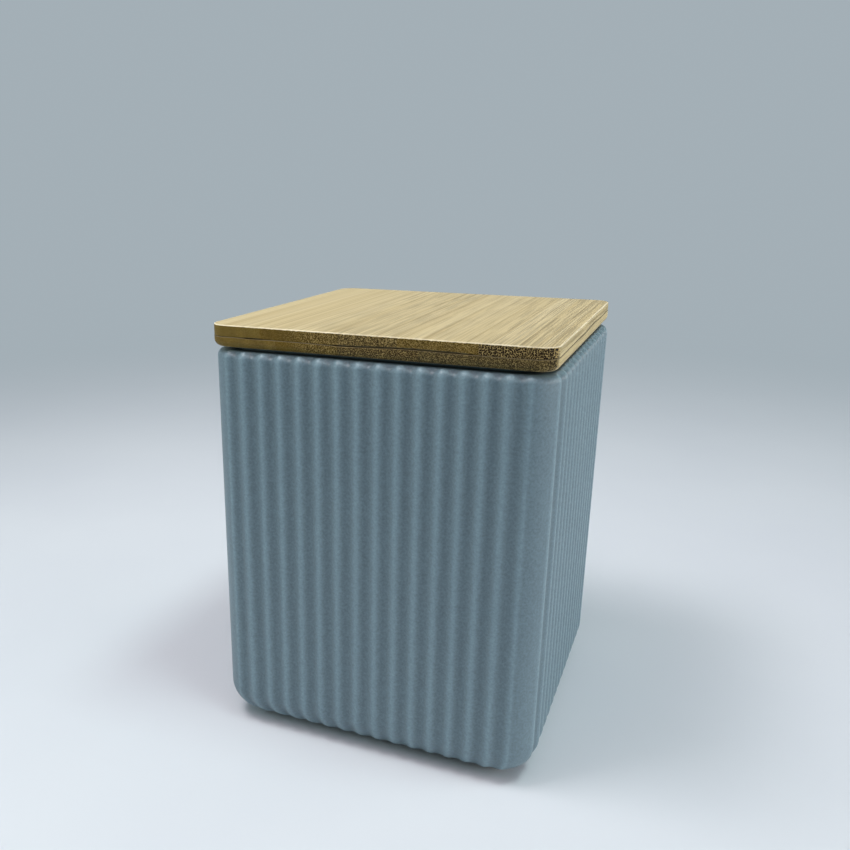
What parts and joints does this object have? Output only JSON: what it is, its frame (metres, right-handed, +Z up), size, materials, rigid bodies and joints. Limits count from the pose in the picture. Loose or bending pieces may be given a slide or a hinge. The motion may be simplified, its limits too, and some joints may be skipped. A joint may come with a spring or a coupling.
{
  "type": "lidded storage jar",
  "caption": "Square fluted stoneware jar with rounded corners and a flat laminated bamboo lid that plugs its mouth with a soft seal.",
  "frame": {"origin": "middle of the foot ring, on the table plane", "axes": "+Z up through the lid, the front fluted face looks along -Y, +X to the right seen from the front"},
  "size_m": [0.1, 0.1, 0.1276],
  "materials": {
    "stoneware": "matte fine-grained blue-grey glaze",
    "bamboo": "sanded and lightly oiled laminated bamboo",
    "plug_bamboo": "sanded bamboo plywood",
    "silicone": "satin translucent silicone"
  },
  "bodies": {
    "jar": {"jar_body": "stoneware"},
    "lid": {"lid_plug": "plug_bamboo", "seal_ring": "silicone", "lid_bottom_strip_1": "bamboo", "lid_bottom_strip_2": "bamboo", "lid_bottom_strip_3": "bamboo", "lid_bottom_strip_4": "bamboo", "lid_bottom_strip_5": "bamboo", "lid_top_strip_1": "bamboo", "lid_top_strip_2": "bamboo", "lid_top_strip_3": "bamboo", "lid_top_strip_4": "bamboo", "lid_top_strip_5": "bamboo"}
  },
  "joints": [
    {"name": "lid_lift", "type": "slide", "parent": "jar", "child": "lid", "axis": [0, 0, 1], "range_m": [0, 0.05]}
  ]
}
